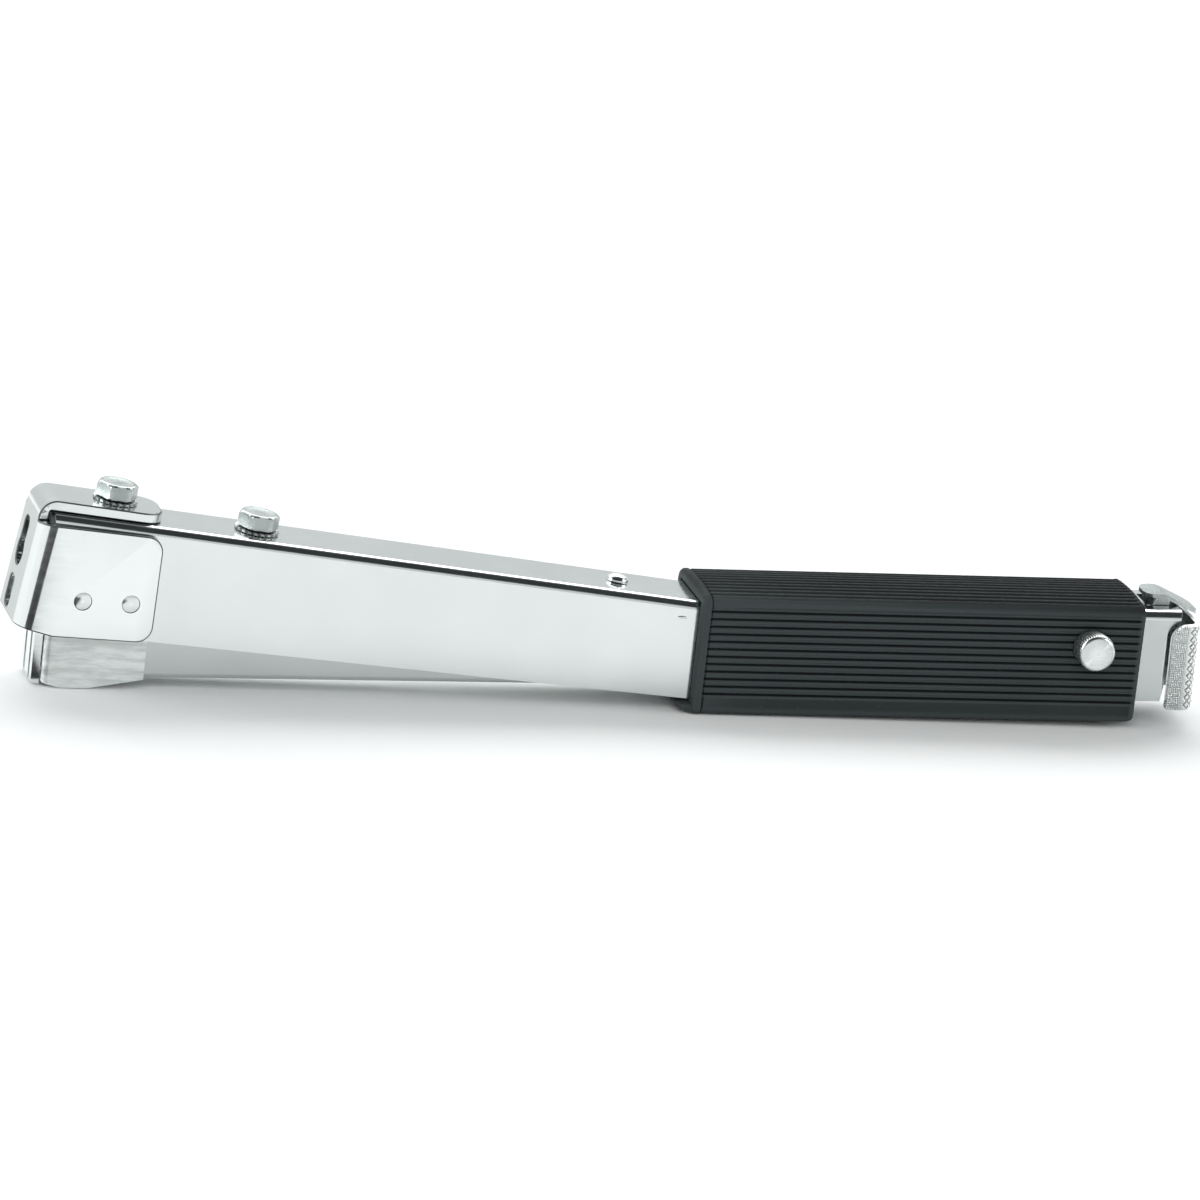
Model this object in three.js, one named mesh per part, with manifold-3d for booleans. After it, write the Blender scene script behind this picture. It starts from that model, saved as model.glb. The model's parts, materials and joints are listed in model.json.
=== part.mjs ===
// A striking stapler (hammer tacker). X runs from the nose towards the rear of the handle, Z is up, and the
// tool is symmetrical about the plane Y = 0 apart from its pivot pin. The drawing below puts X = 0 at the
// front of the driver slot; the finished group is moved so that the origin is the middle of the strike face.
import * as THREE from 'three';
import { mergeVertices } from 'three/addons/utils/BufferGeometryUtils.js';
import Module from 'manifold-3d';

const wasm = await Module();
wasm.setup();

// ---- driving dimensions, millimetres and radians ----
const GAP = 0.3; // between neighbouring pieces
const SEAT = 0.12; // between pieces clamped face to face
const ROUND = 24; // sides of a full round piece
const ENDS = ['front', 'rear'];
const BEYOND = 60; // carries a cutting shape well clear of the piece it cuts

const STRIKE_X = 10.5; // middle of the strike face under the nose
const BEND_X = 181; // where the channel turns from the body into the handle

const FRAME_FRONT_X = 1;
const FRAME_HALF_WIDTH = 11.2;
const FRAME_WALL = 1.5;
const FRAME_BEND_RADIUS = 2.5;
const FRAME_TOP_AT_BEND = 31.1;
const FRAME_BOTTOM_AT_BEND = 3.5;
const BODY_TOP_SLOPE = 0.1014; // rise per millimetre towards the nose
const BODY_BOTTOM_SLOPE = 0.0722;
const HANDLE_TOP_SLOPE = 0.0162; // rise per millimetre towards the rear
const HANDLE_BOTTOM_SLOPE = 0.0275;
const FRAME_END_TOP_X = 321.4;
const FRAME_END_BOTTOM_X = 317.7;

const CAP_SIDE = 2.3; // thickness of the cap's side plates
const CAP_PLATE = 2.8; // thickness of its front face and top strap
const CAP_HALF_WIDTH = FRAME_HALF_WIDTH + GAP + CAP_SIDE;
const CAP_STRAP_HALF_WIDTH = 8.8;
const CAP_BEND_RADIUS = 5; // of the two upright bends at the front
const CAP_INNER_BEND_RADIUS = 2.2;
const CAP_REAR_X = 30.8;
const CAP_CORNER_RADIUS = 4.5;
const CAP_STRAP_REAR_X = 31.5;
const CAP_SLOT_Y = 2; // the slots in the front face lie a little off the middle
const CAP_SLOT_HALF_WIDTH = 2.8;
const CAP_UPPER_SLOT_Z = [36, 44.5];
const CAP_LOWER_SLOT_Z = [19.5, 28];
const CAP_SLOT_HOLE = { radius: 3.8, z: 35 };
const CAP_RIVET_RADIUS = 2.4;
const CAP_RIVET_PLACES = [[10, 25.9], [23.2, 25.6]]; // x and z
const CAP_SIDE_TOP_Z = 46.9;
const CAP_FRONT_X = -2.5; // outer front face at CAP_TOP_Z
const CAP_TOP_Z = 52.8;
const CAP_FRONT_SLOPE = 0.161; // forward lean of the front face per millimetre down
const CAP_BOTTOM_Z = 15.6;
const CAP_FRONT_CHAMFER = 2.6; // rise of the lower front corner

const PIVOT_X = 294.4;
const PIVOT_Z = 23.7;
const PIN_RADIUS = 2.9;
const PIN_HEAD_RADIUS = 5.3;
const PIN_HEAD_LENGTH = 7.2;

const MAGAZINE_TILT = 0.0197; // the magazine rises this much towards the rear
const MAGAZINE_DROP = 15.7; // pivot axis down to the underside of the magazine
const MAGAZINE_HALF_WIDTH = 7.6;
const MAGAZINE_WALL = 1.1;
const MAGAZINE_HEIGHT = 12.2;
const MAGAZINE_FRONT = -290.7; // along the magazine, measured from the pivot, as all its pieces are
const MAGAZINE_REAR = 24;
const COVER_FRONT = -258;
const COVER_THICKNESS = 1;
const BRACKET_HALF_LENGTH = 12;
const BRACKET_HALF_WIDTH = 9.1;
const BRACKET_RIVET_RADIUS = 1.3;
const BRACKET_RIVET_PLACES = [[-8.5, -9], [8.5, -9]];

const NOSE_HALF_WIDTH = 9.3;
const NOSE_REAR_X = 29.6;
const NOSE_PLATE_X = [-0.9, 1.4];
const NOSE_PLATE_HALF_WIDTH = 7.2;
const NOSE_EARS_Z = [17.2, 23];
const NOSE_SCREW = { y: 7.95, z: 20, radius: 0.8 };
const NOSE_SLOT_HALF_WIDTH = 6.5; // room for the staple and the driver
const DRIVER_FRONT_X = 2;
const DRIVER_THICKNESS = 1.2;
const DRIVER_TIP_Z = 12.1;
const DRIVER_LEG_END_X = 34;
const CLAMP_X = [8, 68];
const CLAMP_THICKNESS = 8;

const GRIP_FRONT_X = 182.4;
const GRIP_REAR_X = 309.6;
const GRIP_HALF_WIDTH = 15;
const GRIP_SHOULDER_Z = 33.4;
const GRIP_CROWN = 1.1;
const GRIP_CORNER_RADIUS = 2.4;
const GRIP_FOOT_RADIUS = 1.8;
const GRIP_LIP = { length: 4, halfWidth: 14, height: 2.7 }; // under the channel, ahead of the sleeve
const GRIP_RISE = 0.0125; // rise per millimetre towards the rear

const RAIL_FRONT = -290.5;
const RAIL_REAR = 30.1;
const RAIL_HALF_WIDTH = 4.9;
const RAIL_BOTTOM = 1.5; // above the underside of the magazine
const RAIL_TOP = 10.5;
const ROD_HEIGHT = 6;
const ROD_RADIUS = 1.5;
const SPRING_STOP = -98;
const PUSHER_TRAVEL = 150;
const PUSHER_FIN = [-285, -279]; // reaches down into the rail and rides the rod
const PAD_FACE = 30.4;
const PAD_FRONT = 23.7; // front edges of its two wings
const PAD_PLATE = 2;
const PAD_SIDE = 1.5;
const PAD_HALF_WIDTH = 14.4;
const PAD_BEND_RADIUS = 4;
const PAD_Z = [-18.6, 6.2]; // from the pivot
const PAD_RIVET_RADIUS = 1.2;
const PAD_RIVET_HEIGHTS = [3.5, 8]; // above the underside of the magazine

const BOLT_XS = [18.7, 58.8];
const BOLT_RADIUS = 3;
const BOLT_HEAD_RADIUS = 5.8; // across the corners, 10 mm across the flats
const WASHER_RADIUS = 6.1;
const RIVET_X = 161.2; // holds the return spring
const RIVET_SHANK_RADIUS = 1.8;
const LATCH_X = 315.7;
const LATCH_Z = 29.6;
const LATCH_FRONT_X = 311.9;
const LATCH_HALF_WIDTH = 5;

// ---- finishes ----
const finish = (color, roughness, metalness) => () => (
  new THREE.MeshStandardMaterial({ color, roughness, metalness })
);
const chrome = finish('#d8dcdc', 0.18, 1);
const steel = finish('#aeb2b0', 0.35, 1);
const darkSteel = finish('#4a4d4c', 0.5, 0.9);
const castSteel = finish('#9da3a1', 0.55, 0.9);
const springSteel = finish('#8b8f90', 0.3, 1);
const blackPlastic = finish('#26292a', 0.55, 0);

// ---- solids ----
function solid(geometry) {
  const bare = geometry.clone();
  bare.deleteAttribute('normal');
  bare.deleteAttribute('uv');
  const merged = mergeVertices(bare, 1e-4);
  const vertProperties = new Float32Array(merged.attributes.position.array);
  const triVerts = new Uint32Array(merged.index.array);
  return new wasm.Manifold(new wasm.Mesh({ numProp: 3, vertProperties, triVerts }));
}

function geometryOf(body) {
  const { vertProperties, triVerts } = body.getMesh();
  const geometry = new THREE.BufferGeometry();
  geometry.setAttribute('position', new THREE.BufferAttribute(new Float32Array(vertProperties), 3));
  geometry.setIndex(new THREE.BufferAttribute(new Uint32Array(triVerts), 1));
  geometry.computeVertexNormals();
  return geometry;
}

const joined = (...bodies) => bodies.reduce((sum, body) => sum.add(body));
const cut = (body, ...tools) => tools.reduce((rest, tool) => rest.subtract(tool), body);

// An outline of corners [a, b] or [a, b, radius]; a corner with a radius is rounded by an arc.
function outline(corners) {
  const shape = new THREE.Shape();
  corners.forEach(([a, b, radius = 0], i) => {
    const corner = new THREE.Vector2(a, b);
    const before = new THREE.Vector2(...corners.at(i - 1)).sub(corner).normalize();
    const after = new THREE.Vector2(...corners[(i + 1) % corners.length]).sub(corner).normalize();
    const half = Math.acos(before.dot(after)) / 2;
    const start = before.clone().multiplyScalar(radius / Math.tan(half)).add(corner);
    if (i === 0) shape.moveTo(start.x, start.y);
    else shape.lineTo(start.x, start.y);
    if (radius === 0) return;
    const centre = before.clone().add(after).setLength(radius / Math.sin(half)).add(corner);
    const end = after.clone().multiplyScalar(radius / Math.tan(half)).add(corner);
    const from = start.sub(centre).angle();
    const to = end.sub(centre).angle();
    shape.absarc(centre.x, centre.y, radius, from, to, before.cross(after) > 0);
  });
  return shape;
}

const extruded = (shape, depth, curveSegments) => (
  new THREE.ExtrudeGeometry(shape, { depth, bevelEnabled: false, curveSegments })
);

// Extrudes an outline drawn in (x, z) across the tool, from y0 to y1.
function acrossY(corners, y0, y1, steps = 4) {
  const geometry = extruded(outline(corners), y1 - y0, steps);
  return solid(geometry.rotateX(Math.PI / 2).translate(0, y1, 0));
}

// Extrudes an outline drawn in (x, y) upwards, from z0 to z1.
function upZ(corners, z0, z1, steps = 4) {
  const geometry = extruded(outline(corners), z1 - z0, steps);
  return solid(geometry.translate(0, 0, z0));
}

// Extrudes an outline drawn in (y, z) along the tool from x0 to x1, rising by the slope from its first end.
function alongX(corners, x0, x1, slope = 0, steps = 4) {
  const geometry = extruded(outline(corners), x1 - x0, steps);
  const turn = new THREE.Matrix4().set(0, 0, 1, x0, 1, 0, 0, 0, 0, 1, slope, 0, 0, 0, 0, 1);
  return solid(geometry.applyMatrix4(turn));
}

function block([x0, x1], [y0, y1], [z0, z1]) {
  const geometry = new THREE.BoxGeometry(x1 - x0, y1 - y0, z1 - z0);
  return solid(geometry.translate((x0 + x1) / 2, (y0 + y1) / 2, (z0 + z1) / 2));
}

const rotationTo = { x: [0, 0, -Math.PI / 2], y: [0, 0, 0], z: [Math.PI / 2, 0, 0] };

// A round bar along the named axis, from one end to the other, centred on the other two coordinates.
function bar(axis, radius, from, to, [a, b], sides = ROUND) {
  const geometry = new THREE.CylinderGeometry(radius, radius, to - from, sides);
  geometry.applyMatrix4(new THREE.Matrix4().makeRotationFromEuler(new THREE.Euler(...rotationTo[axis])));
  const middle = (from + to) / 2;
  const place = { x: [middle, a, b], y: [a, middle, b], z: [a, b, middle] }[axis];
  return solid(geometry.translate(...place));
}

// A helical spring from one end to the other along the named axis.
class Helix extends THREE.Curve {
  constructor(radius, length, turns) {
    super();
    Object.assign(this, { radius, length, turns });
  }

  getPoint(t, target = new THREE.Vector3()) {
    const angle = 2 * Math.PI * this.turns * t;
    return target.set(this.radius * Math.cos(angle), this.length * t, this.radius * Math.sin(angle));
  }
}

function spring(axis, radius, wire, from, to, [a, b], turns, stepsPerTurn, sides) {
  const section = new THREE.Shape();
  for (let i = 0; i < sides; i += 1) {
    const angle = (2 * Math.PI * i) / sides;
    section.lineTo(wire * Math.cos(angle), wire * Math.sin(angle));
  }
  const extrudePath = new Helix(radius, to - from - 2 * wire, turns);
  const steps = turns * stepsPerTurn;
  const geometry = new THREE.ExtrudeGeometry(section, { steps, extrudePath, bevelEnabled: false });
  geometry.applyMatrix4(new THREE.Matrix4().makeRotationFromEuler(new THREE.Euler(...rotationTo[axis])));
  const start = from + wire;
  const place = { x: [start, a, b], y: [a, start, b], z: [a, b, start] }[axis];
  return solid(geometry.translate(...place));
}

function piece(name, body, material) {
  const mesh = new THREE.Mesh(geometryOf(body), material());
  mesh.name = name;
  return mesh;
}

// Moves a solid drawn flat at the origin onto the sloping top of the body at x.
function ontoTop(body, x) {
  const tilt = new THREE.Matrix4().makeRotationY(Math.atan(BODY_TOP_SLOPE));
  tilt.setPosition(x, 0, frameTop(x));
  return body.transform(tilt.elements);
}

// ---- frame: one folded channel that runs the whole length ----
function frameTop(x) {
  const slope = x < BEND_X ? BODY_TOP_SLOPE : HANDLE_TOP_SLOPE;
  return FRAME_TOP_AT_BEND + Math.abs(x - BEND_X) * slope;
}

function frameBottom(x) {
  const slope = x < BEND_X ? BODY_BOTTOM_SLOPE : HANDLE_BOTTOM_SLOPE;
  return FRAME_BOTTOM_AT_BEND + Math.abs(x - BEND_X) * slope;
}

// The space under the folded top, for the given half width, corner radius and depth below the outer face.
function channelSpace(halfWidth, radius, depth, x0, x1) {
  const section = (z) => [
    [-halfWidth, z - BEYOND],
    [halfWidth, z - BEYOND],
    [halfWidth, z, radius],
    [-halfWidth, z, radius],
  ];
  const body = alongX(section(frameTop(x0) - depth), x0, BEND_X, -BODY_TOP_SLOPE, 3);
  const handle = alongX(section(frameTop(BEND_X) - depth), BEND_X, x1, HANDLE_TOP_SLOPE, 3);
  return joined(body, handle);
}

function frameChannel() {
  const silhouette = acrossY([
    [FRAME_FRONT_X, frameBottom(FRAME_FRONT_X)],
    [BEND_X, FRAME_BOTTOM_AT_BEND],
    [FRAME_END_BOTTOM_X, frameBottom(FRAME_END_BOTTOM_X)],
    [FRAME_END_TOP_X, frameTop(FRAME_END_TOP_X)],
    [FRAME_END_TOP_X, 60],
    [FRAME_FRONT_X, 60],
  ], -20, 20);
  const outer = channelSpace(FRAME_HALF_WIDTH, FRAME_BEND_RADIUS, 0, FRAME_FRONT_X, 330);
  const innerRadius = FRAME_BEND_RADIUS - FRAME_WALL;
  const inner = channelSpace(FRAME_HALF_WIDTH - FRAME_WALL, innerRadius, FRAME_WALL, -5, 335);
  const latchTab = (y) => (
    block([LATCH_X - 3.2, LATCH_X + 3.2], [y - 0.6, y + 0.6], [LATCH_Z - 2.4, LATCH_Z + 3])
  );
  const folded = joined(cut(outer.intersect(silhouette), inner), latchTab(-6.3), latchTab(6.3));
  const boltHoles = BOLT_XS.map((x) => ontoTop(bar('z', BOLT_RADIUS + GAP, -5, 5, [0, 0]), x));
  const rivetHoles = CAP_RIVET_PLACES.map(([x, z]) => bar('y', CAP_RIVET_RADIUS + SEAT, -20, 20, [x, z]));
  return cut(
    folded,
    ...boltHoles,
    ...rivetHoles,
    ontoTop(bar('z', RIVET_SHANK_RADIUS + GAP, -5, 5, [0, 0]), RIVET_X),
    block([LATCH_X - 3.2, LATCH_X + 3.4], [-5.6, 5.6], [LATCH_Z + 1.5, 40]),
    bar('y', 1.5, -8, 8, [LATCH_X, LATCH_Z]),
    bar('y', PIN_RADIUS + 0.2, -20, 20, [PIVOT_X, PIVOT_Z]),
  );
}

// ---- head cap: a thick folded plate over the nose ----
const capFront = (z) => CAP_FRONT_X - (CAP_TOP_Z - z) * CAP_FRONT_SLOPE;

// The cap's outline seen from the side, without the strap over its top.
function capSide() {
  const bottom = CAP_BOTTOM_Z;
  return [
    [capFront(bottom + CAP_FRONT_CHAMFER), bottom + CAP_FRONT_CHAMFER],
    [capFront(bottom) + 11, bottom],
    [CAP_REAR_X - 1, bottom - 0.9, CAP_CORNER_RADIUS],
    [CAP_REAR_X, CAP_SIDE_TOP_Z - 2.5, CAP_CORNER_RADIUS],
    [capFront(CAP_SIDE_TOP_Z) + 3, CAP_SIDE_TOP_Z],
    [capFront(CAP_SIDE_TOP_Z), CAP_SIDE_TOP_Z],
  ];
}

// Plan of the cap with its two upright front bends, sheared to follow the leaning front face.
function capPlan(halfWidth, radius, inset) {
  const corners = [
    [CAP_REAR_X + BEYOND, -halfWidth],
    [CAP_REAR_X + BEYOND, halfWidth],
    [inset, halfWidth, radius],
    [inset, -halfWidth, radius],
  ];
  const geometry = extruded(outline(corners), 80, 5);
  const lean = new THREE.Matrix4().makeShear(0, 0, 0, 0, CAP_FRONT_SLOPE, 0).setPosition(capFront(0), 0, 0);
  return solid(geometry.applyMatrix4(lean));
}

function headCap() {
  const inner = FRAME_HALF_WIDTH + GAP;
  const side = acrossY(capSide(), -CAP_HALF_WIDTH, CAP_HALF_WIDTH);
  const shell = cut(
    side.intersect(capPlan(CAP_HALF_WIDTH, CAP_BEND_RADIUS, 0)),
    capPlan(inner, CAP_INNER_BEND_RADIUS, CAP_PLATE),
  );
  const under = (x) => frameTop(x) + SEAT;
  const strap = acrossY([
    [capFront(CAP_SIDE_TOP_Z - 6), CAP_SIDE_TOP_Z - 6],
    [capFront(CAP_SIDE_TOP_Z - 6) + CAP_PLATE, CAP_SIDE_TOP_Z - 6],
    [capFront(frameTop(0)) + CAP_PLATE, under(0), 0.5],
    [CAP_STRAP_REAR_X, under(CAP_STRAP_REAR_X)],
    [CAP_STRAP_REAR_X, under(CAP_STRAP_REAR_X) + CAP_PLATE],
    [CAP_FRONT_X, CAP_TOP_Z, 5],
  ], -CAP_STRAP_HALF_WIDTH, CAP_STRAP_HALF_WIDTH, 6);
  const strapPlan = upZ([
    [-20, -CAP_STRAP_HALF_WIDTH],
    [CAP_STRAP_REAR_X, -CAP_STRAP_HALF_WIDTH, 6],
    [CAP_STRAP_REAR_X, CAP_STRAP_HALF_WIDTH, 6],
    [-20, CAP_STRAP_HALF_WIDTH],
  ], 0, 80);
  const [y0, y1] = [CAP_SLOT_Y - CAP_SLOT_HALF_WIDTH, CAP_SLOT_Y + CAP_SLOT_HALF_WIDTH];
  const slot = ([z0, z1]) => alongX([[y0, z0, 2], [y1, z0, 2], [y1, z1, 2], [y0, z1, 2]], -20, -0.5);
  return cut(
    joined(shell, strap.intersect(strapPlan)),
    ontoTop(bar('z', BOLT_RADIUS + GAP, -5, 8, [0, 0]), BOLT_XS[0]),
    ...CAP_RIVET_PLACES.map(([x, z]) => bar('y', CAP_RIVET_RADIUS + SEAT, -20, 20, [x, z])),
    slot(CAP_UPPER_SLOT_Z),
    bar('x', CAP_SLOT_HOLE.radius, -20, -0.5, [CAP_SLOT_Y, CAP_SLOT_HOLE.z]),
    slot(CAP_LOWER_SLOT_Z),
  );
}

function capRivets() {
  const sides = { near: [-CAP_HALF_WIDTH, SEAT - FRAME_HALF_WIDTH + FRAME_WALL], far: [9.8, CAP_HALF_WIDTH] };
  return CAP_RIVET_PLACES.flatMap(([x, z], i) => Object.entries(sides).map(([side, [y0, y1]]) => {
    const name = `cap_rivet_${ENDS[i]}_${side}`;
    return piece(name, bar('y', CAP_RIVET_RADIUS, y0, y1, [x, z]), steel);
  }));
}

// ---- bolts that clamp the cap, the frame and the driver ----
function bolt(name, x, seatHeight, shankLength) {
  const washerTop = seatHeight + SEAT + 1;
  const hole = bar('z', BOLT_RADIUS + GAP, seatHeight - 1, washerTop + 1, [0, 0]);
  const washer = cut(bar('z', WASHER_RADIUS, seatHeight + SEAT, washerTop, [0, 0]), hole);
  const headFrom = washerTop + SEAT;
  const head = bar('z', BOLT_HEAD_RADIUS, headFrom, headFrom + 4.2, [0, 0], 6);
  const shank = bar('z', BOLT_RADIUS, headFrom - shankLength, headFrom + 1, [0, 0]);
  return [
    piece(`${name}_lock_washer`, ontoTop(washer, x), darkSteel),
    piece(`${name}_bolt`, ontoTop(joined(head, shank), x), chrome),
  ];
}

// ---- driver: the blade that hits the staple, clamped under the top ----
const driverSeat = (x) => frameTop(x) - FRAME_WALL - SEAT;

function driverBlade() {
  const back = DRIVER_FRONT_X + DRIVER_THICKNESS;
  const blade = acrossY([
    [DRIVER_FRONT_X, DRIVER_TIP_Z],
    [back, DRIVER_TIP_Z],
    [back, driverSeat(back) - DRIVER_THICKNESS],
    [DRIVER_LEG_END_X, driverSeat(DRIVER_LEG_END_X) - DRIVER_THICKNESS],
    [DRIVER_LEG_END_X, driverSeat(DRIVER_LEG_END_X)],
    [DRIVER_FRONT_X, driverSeat(DRIVER_FRONT_X)],
  ], -6.2, 6.2);
  return cut(blade, ontoTop(bar('z', BOLT_RADIUS + GAP, -6, 0, [0, 0]), BOLT_XS[0]));
}

function driverClamp() {
  const underBlade = (x) => driverSeat(x) - DRIVER_THICKNESS - SEAT;
  const step = DRIVER_LEG_END_X + GAP;
  const [front, rear] = CLAMP_X;
  const clamp = acrossY([
    [front, underBlade(front) - CLAMP_THICKNESS],
    [rear, underBlade(rear) - CLAMP_THICKNESS],
    [rear, driverSeat(rear)],
    [step, driverSeat(step)],
    [step, underBlade(step)],
    [front, underBlade(front)],
  ], -8.5, 8.5);
  return cut(clamp, ...BOLT_XS.map((x) => ontoTop(bar('z', BOLT_RADIUS + GAP, -20, 0, [0, 0]), x)));
}

// ---- domed rivet in the top, which holds the return spring ----
function springRivet() {
  const dome = new THREE.LatheGeometry([
    new THREE.Vector2(0, -7),
    new THREE.Vector2(RIVET_SHANK_RADIUS, -7),
    new THREE.Vector2(RIVET_SHANK_RADIUS, SEAT),
    new THREE.Vector2(3.1, SEAT),
    new THREE.Vector2(2.7, 1.1),
    new THREE.Vector2(1.5, 1.9),
    new THREE.Vector2(0, 2.2),
  ], ROUND);
  return ontoTop(solid(dome.rotateX(Math.PI / 2)), RIVET_X);
}

// ---- handle grip: a ribbed sleeve over the rear of the channel ----
function gripSleeve() {
  const half = GRIP_HALF_WIDTH;
  const top = GRIP_SHOULDER_Z;
  const [corner, foot] = [GRIP_CORNER_RADIUS, GRIP_FOOT_RADIUS];
  const nearSide = [[-half, top, corner], [-half, 0, foot]];
  const section = [[half, 0, foot], [half, top, corner], [0, top + GRIP_CROWN, 60], ...nearSide];
  const sleeve = alongX(section, GRIP_FRONT_X, GRIP_REAR_X, GRIP_RISE, 4);
  const bore = channelSpace(FRAME_HALF_WIDTH + GAP, FRAME_BEND_RADIUS, -GAP, 170, 330);
  const floor = acrossY([
    [170, frameBottom(BEND_X) - GAP],
    [330, frameBottom(330) - GAP],
    [330, 80],
    [170, 80],
  ], -20, 20);
  const rounded = acrossY([
    [GRIP_FRONT_X, -5],
    [GRIP_REAR_X - 0.6, -5],
    [GRIP_REAR_X - 0.6, 1.4, 2.5],
    [GRIP_REAR_X, 5],
    [GRIP_REAR_X, 60],
    [GRIP_FRONT_X, 60],
  ], -20, 20);
  const lip = upZ([
    [GRIP_FRONT_X - GRIP_LIP.length, -GRIP_LIP.halfWidth, 1.5],
    [GRIP_FRONT_X + 1, -GRIP_LIP.halfWidth],
    [GRIP_FRONT_X + 1, GRIP_LIP.halfWidth],
    [GRIP_FRONT_X - GRIP_LIP.length, GRIP_LIP.halfWidth, 1.5],
  ], 0, GRIP_LIP.height);
  const pinHole = bar('y', PIN_RADIUS + GAP, -20, 20, [PIVOT_X, PIVOT_Z]);
  return cut(joined(sleeve.intersect(rounded), lip), bore.intersect(floor), pinHole);
}

// ---- pivot pin with a knurled head, drawn out sideways to free the magazine ----
function pivotPin() {
  const seat = GRIP_HALF_WIDTH + SEAT;
  const face = seat + PIN_HEAD_LENGTH;
  const profile = [
    [0, 0.4 - GRIP_HALF_WIDTH],
    [PIN_RADIUS, 0.4 - GRIP_HALF_WIDTH],
    [PIN_RADIUS, seat],
    [PIN_HEAD_RADIUS, seat],
    [PIN_HEAD_RADIUS, face - 0.7],
    [PIN_HEAD_RADIUS - 0.6, face],
    [0, face],
  ].map(([radius, along]) => new THREE.Vector2(radius, along));
  const turned = new THREE.LatheGeometry(profile, ROUND).rotateX(Math.PI);
  return solid(turned.translate(PIVOT_X, 0, PIVOT_Z));
}

// ---- magazine, drawn along its own axis with the pivot at the origin ----
const underside = -MAGAZINE_DROP;
const height = (w) => underside + w; // w above the underside

function magazineEnvelope(extra) {
  const half = MAGAZINE_HALF_WIDTH + extra;
  const heights = [underside - extra, underside + MAGAZINE_HEIGHT + 2 * extra];
  return block([MAGAZINE_FRONT - extra - 5, MAGAZINE_REAR], [-half, half], heights);
}

function magazineChannel() {
  const inner = MAGAZINE_HALF_WIDTH - MAGAZINE_WALL;
  const outer = alongX([
    [-MAGAZINE_HALF_WIDTH, underside, 1.6],
    [MAGAZINE_HALF_WIDTH, underside, 1.6],
    [MAGAZINE_HALF_WIDTH, underside + MAGAZINE_HEIGHT],
    [-MAGAZINE_HALF_WIDTH, underside + MAGAZINE_HEIGHT],
  ], MAGAZINE_FRONT, MAGAZINE_REAR);
  return cut(
    outer,
    block([MAGAZINE_FRONT - 5, MAGAZINE_REAR + 5], [-inner, inner], [underside + MAGAZINE_WALL, 0]),
    ...BRACKET_RIVET_PLACES.map(([u, w]) => bar('y', BRACKET_RIVET_RADIUS + SEAT, -20, 20, [u, w])),
  );
}

function magazineCover() {
  const seat = underside + MAGAZINE_HEIGHT + SEAT;
  const half = MAGAZINE_HALF_WIDTH;
  return block([COVER_FRONT, -BRACKET_HALF_LENGTH], [-half, half], [seat, seat + COVER_THICKNESS]);
}

function hingeBracket() {
  const half = BRACKET_HALF_LENGTH;
  const inside = MAGAZINE_HALF_WIDTH + GAP;
  const side = [[-half, -13], [half, -13], [half, 1, 2], [7, 6.6, 2], [-7, 6.6, 2], [-half, 1, 2]];
  const plate = acrossY(side, -BRACKET_HALF_WIDTH, BRACKET_HALF_WIDTH);
  return cut(
    plate,
    block([-20, 20], [-inside, inside], [-20, 5.4]),
    bar('y', PIN_RADIUS + 0.2, -20, 20, [0, 0]),
    ...BRACKET_RIVET_PLACES.map(([u, w]) => bar('y', BRACKET_RIVET_RADIUS + SEAT, -20, 20, [u, w])),
  );
}

function bracketRivets() {
  const foot = MAGAZINE_HALF_WIDTH - MAGAZINE_WALL - SEAT;
  const sides = { near: [-BRACKET_HALF_WIDTH, -foot], far: [foot, BRACKET_HALF_WIDTH] };
  return BRACKET_RIVET_PLACES.flatMap(([u, w], i) => Object.entries(sides).map(([side, [y0, y1]]) => (
    piece(`bracket_rivet_${ENDS[i]}_${side}`, bar('y', BRACKET_RIVET_RADIUS, y0, y1, [u, w], 12), steel)
  )));
}

// ---- nose: a cast shoe round the front of the magazine, and the plate that closes the driver slot ----
function noseBlock() {
  const front = NOSE_PLATE_X[1] + SEAT;
  const slot = NOSE_SLOT_HALF_WIDTH;
  const shoe = acrossY([
    [front, 1.2, 0.8],
    [6.5, 0],
    [14, 0],
    [NOSE_REAR_X, 3],
    [NOSE_REAR_X, 15.6],
    [9, 15.6],
    [9, NOSE_EARS_Z[1]],
    [front, NOSE_EARS_Z[1]],
  ], -NOSE_HALF_WIDTH, NOSE_HALF_WIDTH);
  const plan = upZ([
    [front, -NOSE_HALF_WIDTH, 2],
    [60, -NOSE_HALF_WIDTH],
    [60, NOSE_HALF_WIDTH],
    [front, NOSE_HALF_WIDTH, 2],
  ], -5, 30);
  const ears = block([front, 9], [-NOSE_HALF_WIDTH, NOSE_HALF_WIDTH], NOSE_EARS_Z);
  const tilt = new THREE.Matrix4().makeRotationY(-MAGAZINE_TILT);
  tilt.setPosition(PIVOT_X, 0, PIVOT_Z);
  const screwHole = (y) => bar('x', NOSE_SCREW.radius + 0.2, -5, 8, [y, NOSE_SCREW.z], 12);
  return cut(
    joined(shoe.intersect(plan), ears),
    magazineEnvelope(GAP).transform(tilt.elements),
    block([-5, DRIVER_FRONT_X + DRIVER_THICKNESS + 1], [-slot, slot], [-5, 40]),
    block([-5, 40], [-slot, slot], [10, 40]),
    block([22, 40], [-MAGAZINE_HALF_WIDTH - GAP, MAGAZINE_HALF_WIDTH + GAP], [-5, 10]),
    screwHole(-NOSE_SCREW.y),
    screwHole(NOSE_SCREW.y),
  );
}

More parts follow.
